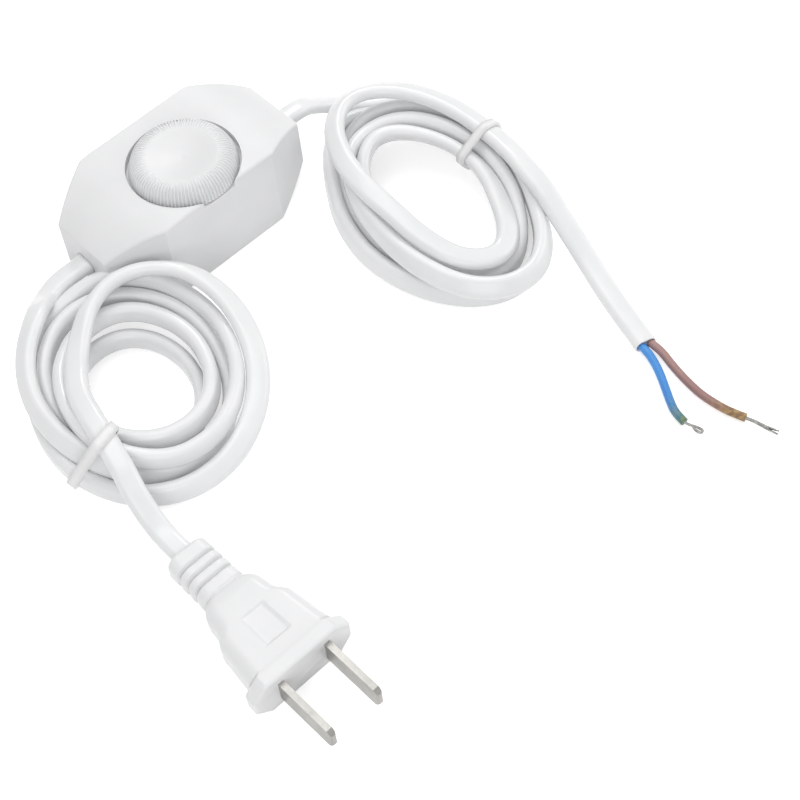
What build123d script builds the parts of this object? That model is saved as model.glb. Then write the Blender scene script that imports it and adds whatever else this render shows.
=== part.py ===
from build123d import *
import math
import os

# Lamp cord with a rotary dimmer in its middle: a plug on one end, bare wires on the other.
# Millimetres, +Z up. The origin is under the middle of the dimmer's housing, on the surface
# that it stands on. +X points along the housing, to the end that feeds the lamp.

os.makedirs("parts", exist_ok=True)

# Housing: an octagon seen from above, curved down and up towards its two ends
HOUSING_LENGTH = 60.0
HOUSING_WIDTH = 32.0
HOUSING_HEIGHT = 24.0
END_FACE_WIDTH = 17.6
SIDE_FACE_LENGTH = 32.6
TOP_FLAT_LENGTH = 26.0
BASE_FLAT_LENGTH = 28.0
END_TOP_DROP = 6.2
END_BASE_RISE = 4.5
WALL = 1.8
EDGE_ROUNDING = 0.7
BASE_THICKNESS = 2.0
RIM = 0.9
FIT_GAP = 0.15

# Knob and the round recess that it turns in
KNOB_OFFSET_Y = -3.0
KNOB_RADIUS = 13.0
KNOB_GAP = 0.8
KNOB_FLOOR_GAP = 0.3
KNOB_RIM_HEIGHT = 1.5
KNOB_DOME_HEIGHT = 4.2
KNOB_SHELL = 1.8
KNOB_RIB_BAND = 4.7
KNOB_HUB_RADIUS = 5.0
RIB_COUNT = 108
RIB_DEPTH = 0.35
RIB_GROOVE_SHARE = 0.5
RECESS_DEPTH = 2.0
RECESS_FLOOR = 1.8
RECESS_WALL = 1.4

# Circuit board on the posts of the base cover
BOARD_TOP = 8.1
BOARD_THICKNESS = 1.6
BOARD_LENGTH = 40.0
BOARD_WIDTH = 23.6
BOARD_CORNER = 4.5
LEAD_RADIUS = 0.35
LEAD_HOLE_GAP = 0.15
LEAD_BELOW_BOARD = 1.2
SOLDER_RADIUS = 0.75
SOLDER_HEIGHT = 0.6
POST_RADIUS = 1.8
POST_PLACES = [(0.0, 9.8), (12.0, 9.8), (-7.0, -9.8), (6.0, -9.8)]

# Potentiometer
POT_RADIUS = 8.25
POT_HEIGHT = 7.0
POT_CAN = 0.6
POT_WAFER = 1.2
BUSHING_WALL = 0.6
POT_TERMINAL_PITCH = 5.0
POT_TERMINAL_INSET = 2.65
SHAFT_RADIUS = 3.0
SHAFT_FLAT = 0.8
SHAFT_RUNNING_GAP = 0.05
WIPER_CLEARANCE = 1.05
WIPER_THICKNESS = 1.0
WIPER_GAP = 0.5

# Screws that join the two covers
SCREW_X = 17.5
SCREW_Y = 10.2
SCREW_RADIUS = 1.3
SCREW_LENGTH = 9.0
SCREW_HEAD_RADIUS = 2.3
SCREW_HEAD_HEIGHT = 1.8
SCREW_HEAD_SINK = 2.3
BOSS_RADIUS = 2.75
BOSS_JOINT = 5.0

# Flat twin cord
CORD_WIDTH = 5.5
CORD_THICKNESS = 3.4
CORD_ROUND_RADIUS = 2.15
CORD_HOLE_GAP = 0.4
CORD_TAIL_LENGTH = 7.6
CORE_RADIUS = 1.15
CORE_PITCH = 2.5
STRANDS_RADIUS = 0.6

# Clamp that holds the cord inside each end
GRIP_INSET = 5.0
GRIP_LENGTH = 4.6
GRIP_WIDTH = 15.0
GRIP_BAR_HEIGHT = 2.2
GRIP_SCREW_CLEARANCE = 1.5
GRIP_SCREW_RADIUS = 1.05
GRIP_SCREW_LENGTH = 5.0
GRIP_HEAD_RADIUS = 1.9
GRIP_HEAD_HEIGHT = 1.3
THREAD_GAP = 0.05

# Plug, with its blades along -Y
PLUG_X = -62.7
PLUG_CORD_Y = -71.5
PLUG_AXIS_Z = 5.5
RELIEF_WIDTH = 11.0
RELIEF_HEIGHT = 7.6
RELIEF_LENGTH = 16.4
RELIEF_FIRST_GROOVE = 6.0
RELIEF_GROOVES = 3
RELIEF_GROOVE_PITCH = 3.1
RELIEF_GROOVE_WIDTH = 0.8
RELIEF_GROOVE_DEPTH = 0.9
NECK_WIDTH = 14.7
NECK_HEIGHT = 8.6
NECK_LENGTH = 6.0
PLUG_SHOULDER_WIDTH = 16.2
PLUG_BACK_WIDTH = 22.0
PLUG_BACK_HEIGHT = 10.4
PLUG_BODY_LENGTH = 15.6
FLANGE_WIDTH = 28.6
FLANGE_HEIGHT = 10.9
FLANGE_THICKNESS = 3.6
FLANGE_CORNER = 3.6
PANEL_LENGTH = 9.0
PANEL_WIDTH = 7.4
PANEL_DEPTH = 0.3
BRIDGE_WIDTH = 19.0
BRIDGE_HEIGHT = 8.4
BRIDGE_LENGTH = 7.0
BLADE_PITCH = 12.7
BLADE_THICKNESS = 1.5
BLADE_HEIGHT = 6.3
BLADE_LENGTH = 15.9
BLADE_ROOT = 9.0
BLADE_TIP = 1.2

# Coils: each turn crosses four sides, where its radius and height are given.
# The angles are turned from +X about the coil's middle, and Y is stretched.
LINE_COIL_CENTER = (-41.0, -35.5)
LINE_COIL_STRETCH = 1.12
LINE_COIL_START = (138.0, 28.5, 2.95)
LINE_COIL_END_WAY = (-0.16, -0.987, 0)
LINE_COIL_FIRST_SIDE = 195.0
LINE_COIL_SIDE_STEP = 90.0
LINE_COIL_RADII = [
    (25.2, 22.2, 21.6, 24.0),
    (20.5, 18.0, 15.6, 14.8),
    (16.4, 16.4, 16.4, 18.6),
    (20.5, 21.7, 23.6, 24.4),
    (26.2, 27.0, 28.0, 14.5),
    (18.9,),
]
LINE_COIL_HEIGHTS = [
    (4.0, 2.95, 2.95, 2.95),
    (4.0, 2.95, 2.95, 3.2),
    (7.2, 9.1, 9.1, 9.1),
    (10.1, 9.1, 9.1, 9.1),
    (10.0, 3.4, 14.9, 15.5),
    (16.1,),
]
LOAD_COIL_CENTER = (43.0, -43.0)
LOAD_COIL_STRETCH = 1.6
LOAD_COIL_START = (42.0, 23.8, 2.95)
LOAD_COIL_END_WAY = (0.02, -1.0, 0)
LOAD_COIL_FIRST_SIDE = 0.0
LOAD_COIL_SIDE_STEP = -90.0
LOAD_COIL_RADII = [
    (20.2, 20.4, 23.1, 22.2),
    (16.2, 16.6, 19.0, 19.8),
    (20.1, 20.5, 16.8, 16.9),
    (16.1, 16.6, 12.8, 12.9),
    (12.1, 12.9, 10.6, 20.6),
    (18.9,),
]
LOAD_COIL_HEIGHTS = [
    (4.0, 2.95, 2.95, 2.95),
    (4.0, 2.95, 3.6, 8.2),
    (10.1, 9.1, 9.1, 9.1),
    (10.1, 9.1, 9.1, 9.1),
    (10.1, 9.8, 15.2, 15.3),
    (16.2,),
]
COIL_END_RUN = 4.5
CORD_SQUARE_RUN = 4.5
CORE_SQUARE_RUN = 3.5
SELF_GAP_LEAST = 0.4
GAP_SAMPLE_STEP = 2.0

# Ties round the coils
TIE_THICKNESS = 0.7
TIE_GAP = 0.5
LINE_TIE_ANGLE = 195.0
LINE_TIE_BAND = 3.8
LINE_TIE_SPAN = (14.6, 28.1)
LOAD_TIE_ANGLE = 0.0
LOAD_TIE_BAND = 2.6
LOAD_TIE_SPAN = (10.2, 22.1)
TIE_TOP_TURN_Z = 16.75
TIE_LOW_TURN_Z = 2.9

# Free ends of the two cores and their stripped wires
JACKET_END = (47.9, -106.2, 2.3)
BLUE_ROUTE = [(41.0, -118.6, 1.6), (38.3, -125.6, 1.3)]
BROWN_ROUTE = [(46.6, -120.6, 1.5), (46.4, -128.4, 1.3), (48.1, -135.4, 1.3)]
BROWN_BARE_LENGTH = 8.2
BLUE_BARE_LENGTH = 2.4
BLUE_HOOK_RADIUS = 1.6

# Values that follow from those above
CORD_AXIS_Z = (HOUSING_HEIGHT - END_TOP_DROP + END_BASE_RISE) / 2
RECESS_RADIUS = KNOB_RADIUS + KNOB_GAP
RECESS_FLOOR_Z = HOUSING_HEIGHT - RECESS_DEPTH
RECESS_UNDER_Z = RECESS_FLOOR_Z - RECESS_FLOOR
KNOB_BASE_Z = RECESS_FLOOR_Z + KNOB_FLOOR_GAP
KNOB_SMOOTH_RADIUS = KNOB_RADIUS - KNOB_RIB_BAND
KNOB_RIM_Z = KNOB_BASE_Z + KNOB_RIM_HEIGHT
KNOB_TOP_Z = KNOB_RIM_Z + KNOB_DOME_HEIGHT
DOME_RADIUS = (KNOB_RADIUS**2 + KNOB_DOME_HEIGHT**2) / (2 * KNOB_DOME_HEIGHT)
BOARD_BOTTOM = BOARD_TOP - BOARD_THICKNESS
POT_TOP = BOARD_TOP + POT_HEIGHT
BORE_RADIUS = SHAFT_RADIUS + SHAFT_RUNNING_GAP
BUSHING_RADIUS = SHAFT_RADIUS + BUSHING_WALL
WIPER_RADIUS = POT_RADIUS - POT_CAN - WIPER_CLEARANCE
TIE_TOP = TIE_TOP_TURN_Z + CORD_WIDTH / 2
TIE_BOTTOM = TIE_LOW_TURN_Z - CORD_WIDTH / 2
POT_TERMINAL_Y = POT_RADIUS - POT_TERMINAL_INSET
POT_TERMINAL_XS = (-POT_TERMINAL_PITCH, 0, POT_TERMINAL_PITCH)
GRIP_X = HOUSING_LENGTH / 2 - GRIP_INSET
GRIP_SCREW_Y = CORD_WIDTH / 2 + GRIP_SCREW_RADIUS + GRIP_SCREW_CLEARANCE
WIPER_Z = BOARD_TOP + POT_WAFER + WIPER_GAP
SHAFT_TOP = KNOB_TOP_Z - 2 * KNOB_SHELL
GRIP_CORD_LOW = CORD_AXIS_Z - CORD_THICKNESS / 2
GRIP_CORD_HIGH = CORD_AXIS_Z + CORD_THICKNESS / 2
NECK_Y = PLUG_CORD_Y - RELIEF_LENGTH
SHOULDER_Y = NECK_Y - NECK_LENGTH
FLANGE_BACK_Y = SHOULDER_Y - PLUG_BODY_LENGTH
PLUG_FACE_Y = FLANGE_BACK_Y - FLANGE_THICKNESS
PAD_X = BOARD_LENGTH / 2 - 1.6
PAD_Y = CORE_PITCH / 2

# Routes of the cord where it isn't coiled. The first and last points sit on a coil's end,
# the housing, the plug or the cut end of the jacket.
LINE_EXIT = (-HOUSING_LENGTH / 2, 0.0, CORD_AXIS_Z)
LOAD_EXIT = (HOUSING_LENGTH / 2, 0.0, CORD_AXIS_Z)
LINE_START_POINTS = [LINE_EXIT, (-36.6, 0.0, CORD_AXIS_Z), (-44.4, -0.1, 6.2), (-51.4, -3.0, 3.1)]
LOAD_START_POINTS = [LOAD_EXIT, (36.6, 0.0, CORD_AXIS_Z), (44.4, 0.0, 6.2), (51.4, -2.4, 3.1)]
LINE_END_POINTS = [
    (-61.7, -54.5, 15.5),
    (-63.0, -62.0, 8.4),
    (PLUG_X, PLUG_CORD_Y + 4.8, PLUG_AXIS_Z),
    (PLUG_X, PLUG_CORD_Y, PLUG_AXIS_Z),
]
LOAD_END_POINTS = [
    (62.9, -58.5, 15.8),
    (63.7, -65.5, 12.9),
    (62.6, -72.8, 8.4),
    (60.7, -80.2, 4.8),
    (57.4, -88.2, 2.6),
    (52.9, -96.9, 2.3),
    JACKET_END,
]


def save(shape, name):
    """Write one sub-part under its node's name."""
    shape.label = name
    export_step(shape, f"parts/{name}.step")


def solids_of(shapes):
    """Several loose solids as one shape."""
    return Compound(children=[solid for shape in shapes for solid in shape.solids()])


def octagon(inset):
    """The housing's outline from above, drawn in by the inset."""
    length = HOUSING_LENGTH / 2
    width = HOUSING_WIDTH / 2
    side = SIDE_FACE_LENGTH / 2
    end = END_FACE_WIDTH / 2
    quarter = [(length, end), (side, width)]
    corners = quarter + [(-x, y) for x, y in reversed(quarter)]
    corners += [(-x, -y) for x, y in corners]
    outline = make_face(Polyline(*corners, close=True))
    if inset == 0:
        return outline
    return offset(outline, amount=-inset, kind=Kind.INTERSECTION)


def bow_radius(run, drop):
    """Radius of an arc that leaves a flat and drops so much over a run."""
    return (run**2 + drop**2) / (2 * drop)


def bowed_line(flat_length, level, drop, inset):
    """Half-length, end point and mid-arc point of a flat line that bends off at its ends."""
    flat = flat_length / 2
    run = HOUSING_LENGTH / 2 - flat
    radius = bow_radius(run, abs(drop)) - inset
    turn = math.asin(run / (radius + inset))
    sign = math.copysign(1, drop)
    points = []
    for angle in (turn / 2, turn):
        x = flat + radius * math.sin(angle)
        points.append((x, level - sign * radius * (1 - math.cos(angle))))
    return flat, points


def side_profile(inset):
    """The housing's outline from the side, on X and Z, drawn in by the inset."""
    top_level = HOUSING_HEIGHT - inset
    top, top_arc = bowed_line(TOP_FLAT_LENGTH, top_level, END_TOP_DROP, inset)
    low, low_arc = bowed_line(BASE_FLAT_LENGTH, inset, -END_BASE_RISE, inset)
    right = [
        ThreePointArc((low, inset), low_arc[0], low_arc[1]),
        Line(low_arc[1], top_arc[1]),
        ThreePointArc(top_arc[1], top_arc[0], (top, top_level)),
    ]
    left = [mirror(edge, about=Plane.YZ) for edge in right]
    flats = [Line((-low, inset), (low, inset)), Line((-top, top_level), (top, top_level))]
    return make_face(Curve() + right + left + flats)


def profile_prism(inset):
    """The side profile, made as wide as the housing and more."""
    return extrude(Plane.XZ * side_profile(inset), amount=HOUSING_WIDTH, both=True)


def base_slab(inset):
    """The layer of the base cover's thickness, as far out as the inset leaves."""
    plan = extrude(octagon(inset), amount=HOUSING_HEIGHT)
    return (plan & profile_prism(0)) - Pos(0, 0, BASE_THICKNESS) * profile_prism(0)


def outer_body():
    """The whole housing as one solid, with its edges rounded."""
    body = extrude(octagon(0), amount=HOUSING_HEIGHT) & profile_prism(0)
    edges = [edge for edge in body.edges() if not is_flat_seam(edge)]
    return fillet(edges, radius=EDGE_ROUNDING)


def is_flat_seam(edge):
    """True for the smooth line across the top or the base where the bow begins."""
    across = abs(edge.tangent_at(0.5).Y) > 0.999
    return across and abs(edge.center().X) < SIDE_FACE_LENGTH / 2


def at_knob(shape):
    return Pos(0, KNOB_OFFSET_Y, 0) * shape


def tube(radius, low, high):
    """A round bar along Z between two heights."""
    return Pos(0, 0, (low + high) / 2) * Cylinder(radius, high - low)


def block(x, y, z):
    """A box from its lowest and highest value on each axis."""
    middle = [sum(pair) / 2 for pair in (x, y, z)]
    size = [pair[1] - pair[0] for pair in (x, y, z)]
    return Pos(*middle) * Box(*size)


def flat_section(gap):
    """The flat cord's section, or its hole with a gap all round, wide side along X."""
    width = CORD_WIDTH + 2 * gap
    height = CORD_THICKNESS + 2 * gap
    return RectangleRounded(width, height, height / 2 - 0.01)


def flat_cord_bar(x_low, x_high, gap):
    """A straight bar of flat cord along X, at the height of the housing's holes."""
    plane = Plane(origin=(x_low, 0, CORD_AXIS_Z), x_dir=(0, 1, 0), z_dir=(1, 0, 0))
    return extrude(plane * flat_section(gap), amount=x_high - x_low)


def screw_places():
    return [(SCREW_X, -SCREW_Y), (-SCREW_X, SCREW_Y)]


def ends():
    return (-1, 1)


def make_top_cover():
    """Walls and top in one shell, with the knob's recess and the two cord holes."""
    body = outer_body()
    cavity = extrude(octagon(WALL), amount=HOUSING_HEIGHT)
    cavity = cavity & (profile_prism(WALL) + block((-40, 40), (-40, 40), (-1, 8)))
    pad = at_knob(tube(RECESS_RADIUS + RECESS_WALL, RECESS_UNDER_Z, HOUSING_HEIGHT))
    bosses = [Pos(x, y, 0) * tube(BOSS_RADIUS, BOSS_JOINT, HOUSING_HEIGHT) for x, y in screw_places()]
    cover = body - cavity + (pad & body)
    for boss in bosses:
        cover = cover + (boss & body)
    cover = cover - base_slab(RIM)
    cover = cover - at_knob(tube(RECESS_RADIUS, RECESS_FLOOR_Z, HOUSING_HEIGHT + 1))
    cover = cover - at_knob(tube(KNOB_HUB_RADIUS + KNOB_GAP, RECESS_UNDER_Z - 1, HOUSING_HEIGHT))
    hole = flat_cord_bar(-HOUSING_LENGTH, HOUSING_LENGTH, CORD_HOLE_GAP)
    end_walls = block((-40, -GRIP_X), (-9, 9), (0, 24)) + block((GRIP_X, 40), (-9, 9), (0, 24))
    cover = cover - (hole & end_walls)
    pilot = tube(SCREW_RADIUS + THREAD_GAP, BOSS_JOINT - 1, SCREW_HEAD_SINK + SCREW_LENGTH + 1)
    for x, y in screw_places():
        cover = cover - Pos(x, y, 0) * pilot
    return cover


def make_base_cover():
    """Inset plate with the screw bosses, the board's posts and the two cord saddles."""
    plate = base_slab(RIM + FIT_GAP)
    inside = extrude(octagon(WALL + FIT_GAP), amount=HOUSING_HEIGHT) & profile_prism(0)
    boss = tube(BOSS_RADIUS + 0.6, BASE_THICKNESS / 2, BOSS_JOINT)
    post = tube(POST_RADIUS, BASE_THICKNESS / 2, BOARD_BOTTOM)
    for x, y in screw_places():
        plate = plate + (Pos(x, y, 0) * boss & inside)
    for x, y in POST_PLACES:
        plate = plate + Pos(x, y, 0) * post
    for end in ends():
        saddle = Pos(end * GRIP_X, 0, GRIP_CORD_LOW / 2) * Box(GRIP_LENGTH, GRIP_WIDTH, GRIP_CORD_LOW)
        plate = plate + (saddle & inside)
        for side in ends():
            hole = tube(GRIP_SCREW_RADIUS + THREAD_GAP, GRIP_CORD_LOW - GRIP_SCREW_LENGTH, 20)
            plate = plate - Pos(end * GRIP_X, side * GRIP_SCREW_Y, 0) * hole
    for x, y in screw_places():
        plate = plate - Pos(x, y, 0) * tube(SCREW_HEAD_RADIUS + 0.3, -1, SCREW_HEAD_SINK)
        plate = plate - Pos(x, y, 0) * tube(SCREW_RADIUS + 0.3, -1, BOSS_JOINT + 1)
    return plate


def make_housing_screws():
    """Two pan-head screws, from below."""
    shank = tube(SCREW_RADIUS, SCREW_HEAD_SINK, SCREW_HEAD_SINK + SCREW_LENGTH)
    head = tube(SCREW_HEAD_RADIUS, SCREW_HEAD_SINK - SCREW_HEAD_HEIGHT, SCREW_HEAD_SINK)
    slot_z = SCREW_HEAD_SINK - SCREW_HEAD_HEIGHT
    for angle in (0, 90):
        head = head - Pos(0, 0, slot_z) * Rot(0, 0, angle) * Box(2.8, 0.7, 1.6)
    return [Pos(x, y, 0) * (head + shank) for x, y in screw_places()]


def make_grip(end):
    """Bar that presses the cord on its saddle."""
    low = GRIP_CORD_HIGH
    bar = Pos(end * GRIP_X, 0, low + GRIP_BAR_HEIGHT / 2) * Box(GRIP_LENGTH, GRIP_WIDTH, GRIP_BAR_HEIGHT)
    for side in ends():
        hole = tube(GRIP_SCREW_RADIUS + 0.15, low - 1, low + GRIP_BAR_HEIGHT + 1)
        bar = bar - Pos(end * GRIP_X, side * GRIP_SCREW_Y, 0) * hole
    return bar


def make_grip_screws():
    """Four small screws, two for each bar."""
    seat = GRIP_CORD_HIGH + GRIP_BAR_HEIGHT
    gap = seat - GRIP_CORD_LOW
    shank = tube(GRIP_SCREW_RADIUS, GRIP_CORD_LOW + 0.4 - GRIP_SCREW_LENGTH, seat)
    head = tube(GRIP_HEAD_RADIUS, seat, seat + GRIP_HEAD_HEIGHT) - Pos(0, 0, seat + gap / 3) * Box(3, 0.6, 1)
    screw = shank + head
    return [Pos(end * GRIP_X, side * GRIP_SCREW_Y, 0) * screw for end in ends() for side in ends()]


def make_cord_tail(end):
    """The jacket's last stretch, through the end wall and under its clamp."""
    outer = HOUSING_LENGTH / 2
    if end > 0:
        return flat_cord_bar(outer - CORD_TAIL_LENGTH, outer, 0)
    return flat_cord_bar(-outer, -outer + CORD_TAIL_LENGTH, 0)


def make_inner_wires(end):
    """The two cores from the jacket down to their pads on the board."""
    start = HOUSING_LENGTH / 2 - CORD_TAIL_LENGTH
    wires = []
    for side in ends():
        points = [
            Vector(end * start, side * PAD_Y, CORD_AXIS_Z),
            Vector(end * PAD_X, side * PAD_Y, CORD_AXIS_Z),
            Vector(end * PAD_X, side * PAD_Y, BOARD_TOP),
        ]
        path = FilletPolyline(*points, radius=1.4)
        plane = Plane(origin=path @ 0, z_dir=path % 0)
        wire = sweep(plane * Circle(CORE_RADIUS * 0.8), path=path)
        pin = Pos(end * PAD_X, side * PAD_Y, 0) * tube(LEAD_RADIUS, BOARD_BOTTOM - LEAD_BELOW_BOARD, BOARD_TOP)
        wires.append(wire + pin)
    return wires


def dome(radius, drop):
    """The knob's outer form down to a base, with its dome lowered by the drop."""
    ball = Pos(0, 0, KNOB_TOP_Z - DOME_RADIUS - drop) * Sphere(DOME_RADIUS)
    return ball & tube(radius, KNOB_BASE_Z, KNOB_TOP_Z)


def make_knob():
    """Domed thumb knob: a smooth middle and fine ribs on its sloping edge."""
    groove_width = 2 * math.pi * KNOB_RADIUS / RIB_COUNT * RIB_GROOVE_SHARE
    core = dome(KNOB_RADIUS - RIB_DEPTH, RIB_DEPTH) + dome(KNOB_SMOOTH_RADIUS, 0)
    ring = dome(KNOB_RADIUS, 0) - tube(KNOB_SMOOTH_RADIUS, KNOB_BASE_Z - 1, KNOB_TOP_Z + 1)
    half = groove_width / 2 / KNOB_RADIUS
    reach = KNOB_RADIUS + 1
    wedges = []
    for index in range(RIB_COUNT):
        turn = 2 * math.pi * (index + 0.5) / RIB_COUNT
        step = math.pi / RIB_COUNT
        low = turn - step + half
        high = turn + step - half
        corners = [(0, 0)] + [(reach * math.cos(a), reach * math.sin(a)) for a in (low, high)]
        wedges.append(make_face(Polyline(*corners, close=True)))
    hub_hole = Circle(KNOB_SMOOTH_RADIUS)
    ribs = extrude(Sketch() + wedges - hub_hole, amount=KNOB_TOP_Z + 1)
    knob = core + (ring & ribs)
    hollow = Pos(0, 0, KNOB_TOP_Z - DOME_RADIUS - KNOB_SHELL) * Sphere(DOME_RADIUS)
    hollow = hollow & tube(KNOB_RADIUS - KNOB_SHELL, KNOB_BASE_Z - 1, KNOB_TOP_Z)
    hub = tube(KNOB_HUB_RADIUS, POT_TOP + RECESS_FLOOR, KNOB_TOP_Z - KNOB_SHELL)
    bore = tube(SHAFT_RADIUS, 0, SHAFT_TOP) - shaft_flat(0, SHAFT_TOP)
    bushing_room = tube(BUSHING_RADIUS + 0.4, 0, RECESS_UNDER_Z + 0.5)
    return at_knob(knob - hollow + hub - bore - bushing_room)


def shaft_flat(low, high):
    """What is cut from the shaft for its flat."""
    edge = SHAFT_RADIUS - SHAFT_FLAT
    return block((edge, SHAFT_RADIUS + 1), (-SHAFT_RADIUS, SHAFT_RADIUS), (low, high))


def make_pot_shaft():
    """Plastic shaft with a flat at its top, in the knob's hub."""
    shaft = tube(SHAFT_RADIUS, WIPER_Z + WIPER_THICKNESS, SHAFT_TOP)
    return at_knob(shaft - shaft_flat(RECESS_UNDER_Z + 0.5, SHAFT_TOP + 1))


def make_pot_wiper():
    """Rotor disc with its two contact fingers."""
    disc = tube(WIPER_RADIUS, WIPER_Z, WIPER_Z + WIPER_THICKNESS)
    disc = disc - block((1, 9), (3.2, 9), (0, 20)) - block((1, 9), (-9, -3.2), (0, 20))
    return at_knob(disc)


def make_pot_case():
    """Steel can with the bushing that guides the shaft."""
    can = tube(POT_RADIUS, BOARD_TOP + POT_WAFER, POT_TOP)
    can = can - tube(POT_RADIUS - POT_CAN, BOARD_TOP, POT_TOP - 1.2)
    can = can + tube(BUSHING_RADIUS, POT_TOP - 1.2, RECESS_UNDER_Z)
    return at_knob(can - tube(BORE_RADIUS, BOARD_TOP, HOUSING_HEIGHT))


def make_pot_wafer():
    """Carbon track's carrier, with its three terminals in a row."""
    wafer = tube(POT_RADIUS, BOARD_TOP, BOARD_TOP + POT_WAFER)
    for x in POT_TERMINAL_XS:
        wafer = wafer + Pos(x, POT_TERMINAL_Y, 0) * lead(BOARD_TOP + 0.2)
    return at_knob(wafer)


def lead(top):
    """A wire from a component down through the board, with its solder under the board."""
    solder = tube(SOLDER_RADIUS, BOARD_BOTTOM - SOLDER_HEIGHT, BOARD_BOTTOM)
    return tube(LEAD_RADIUS, BOARD_BOTTOM - LEAD_BELOW_BOARD, top) + solder


LEAD_PLACES = {
    "suppression_capacitor": [(-5.0, 9.0), (5.0, 9.0)],
    "timing_capacitor": [(-12.6, 9.2), (-8.2, 9.2)],
    "triac": [(-12.6, -8.3), (-12.6, -6.0), (-12.6, -3.7)],
    "choke": [(13.0, -5.2), (13.0, 5.8)],
    "fuse": [(8.7, 9.8), (15.2, 9.8)],
    "diac": [(-18.6, 5.4), (-14.6, 5.4)],
    "resistors": [(-18.0, -6.4), (-18.0, -4.6), (11.4, -9.6), (13.2, -9.6)],
}


def leads(name, top):
    """All leads of one component, as one list of bars."""
    return [Pos(x, y, 0) * lead(top) for x, y in LEAD_PLACES[name]]


def make_board():
    """Board with two cut corners for the screw bosses and a hole for each lead."""
    x = BOARD_LENGTH / 2
    y = BOARD_WIDTH / 2
    notch_x = SCREW_X - BOSS_RADIUS - 0.9
    notch_y = SCREW_Y - BOSS_RADIUS - 0.6
    half = [(x, -notch_y), (x, y - BOARD_CORNER), (x - BOARD_CORNER, y), (-notch_x, y), (-notch_x, notch_y)]
    corners = half + [(-px, -py) for px, py in half]
    board = extrude(make_face(Polyline(*corners, close=True)), amount=BOARD_THICKNESS)
    board = Pos(0, 0, BOARD_BOTTOM) * board
    places = [place for row in LEAD_PLACES.values() for place in row]
    places += [(px, POT_TERMINAL_Y + KNOB_OFFSET_Y) for px in POT_TERMINAL_XS]
    places += [(end * PAD_X, side * PAD_Y) for end in ends() for side in ends()]
    holes = [Pos(px, py, 0) * tube(LEAD_RADIUS + LEAD_HOLE_GAP, 0, 20) for px, py in places]
    return board - holes


def joined(parts):
    """Touching pieces of one component, fused to one solid."""
    whole = parts[0]
    for piece in parts[1:]:
        whole = whole + piece
    return whole


def make_suppression_capacitor():
    box = fillet(block((-6.5, 6.5), (6.5, 11.5), (BOARD_TOP, BOARD_TOP + 10.0)).edges().filter_by(Axis.Z), 0.5)
    return joined([box] + leads("suppression_capacitor", BOARD_TOP + 1))


def make_timing_capacitor():
    box = block((-13.4, -7.4), (8.0, 10.4), (BOARD_TOP, BOARD_TOP + 6.5))
    return joined([box] + leads("timing_capacitor", BOARD_TOP + 1))


def make_triac():
    body = block((-13.8, -11.2), (-10.0, -2.0), (BOARD_TOP + 1.0, BOARD_TOP + 11.2))
    hole = Pos(-12.6, -6.0, BOARD_TOP + 8.8) * Rot(0, 90, 0) * Cylinder(1.6, 6)
    return joined([body] + leads("triac", BOARD_TOP + 2)) - hole


def make_heat_sink():
    plate = block((-15.0, -13.8), (-11.0, -1.2), (BOARD_TOP + 1.0, BOARD_TOP + 11.0))
    return plate - Pos(-14.4, -6.0, BOARD_TOP + 8.8) * Rot(0, 90, 0) * Cylinder(1.6, 6)


def make_heat_sink_rivet():
    rivet = Pos(-13.1, -6.0, BOARD_TOP + 8.8) * Rot(0, 90, 0) * Cylinder(1.55, 3.8)
    for x in (-15.3, -10.9):
        rivet = rivet + Pos(x, -6.0, BOARD_TOP + 8.8) * Rot(0, 90, 0) * Cylinder(2.4, 0.6)
    return rivet


def choke_bar(radius, y_low, y_high):
    plane = Plane(origin=(13.0, y_high, BOARD_TOP + 4.2), x_dir=(1, 0, 0), z_dir=(0, -1, 0))
    return extrude(plane * Circle(radius), amount=y_high - y_low)


def make_choke_core():
    core = choke_bar(2.2, -6.4, 7.0)
    return core + choke_bar(4.0, -6.4, -5.8) + choke_bar(4.0, 6.4, 7.0)


def make_choke_winding():
    winding = choke_bar(3.4, -5.8, 6.4) - choke_bar(2.2, -6.4, 7.0)
    return joined([winding] + leads("choke", BOARD_TOP + 1.2))


def make_fuse():
    body = Pos(12.0, 9.8, BOARD_TOP + 1.8) * Rot(0, 90, 0) * Cylinder(1.4, 6.0)
    wire = Pos(11.95, 9.8, BOARD_TOP + 1.8) * Rot(0, 90, 0) * Cylinder(LEAD_RADIUS, 6.5 + LEAD_RADIUS)
    return joined([body, wire] + leads("fuse", BOARD_TOP + 1.8 + LEAD_RADIUS))


def make_diac():
    body = Pos(-16.6, 5.4, BOARD_TOP + 1.3) * Rot(0, 90, 0) * Cylinder(0.95, 3.0)
    wire = Pos(-16.6, 5.4, BOARD_TOP + 1.3) * Rot(0, 90, 0) * Cylinder(LEAD_RADIUS, 4.0 + LEAD_RADIUS)
    return joined([body, wire] + leads("diac", BOARD_TOP + 1.3 + LEAD_RADIUS))


def make_resistors():
    """Two resistors that stand on one end, each with its second lead bent down beside it."""
    places = LEAD_PLACES["resistors"]
    made = []
    for first, second in (places[0:2], places[2:4]):
        body = Pos(first[0], first[1], 0) * tube(1.1 - 0.2, BOARD_TOP + 0.6, BOARD_TOP + 6.4)
        top = BOARD_TOP + 7.4
        middle = ((first[0] + second[0]) / 2, (first[1] + second[1]) / 2)
        reach_x = abs(first[0] - second[0]) + 2 * LEAD_RADIUS
        reach_y = abs(first[1] - second[1]) + 2 * LEAD_RADIUS
        bridge = Pos(middle[0], middle[1], top - LEAD_RADIUS) * Box(reach_x, reach_y, 2 * LEAD_RADIUS)
        legs = [Pos(px, py, 0) * lead(top) for px, py in (first, second)]
        made.append(joined([body, bridge] + legs))
    return made


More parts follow.
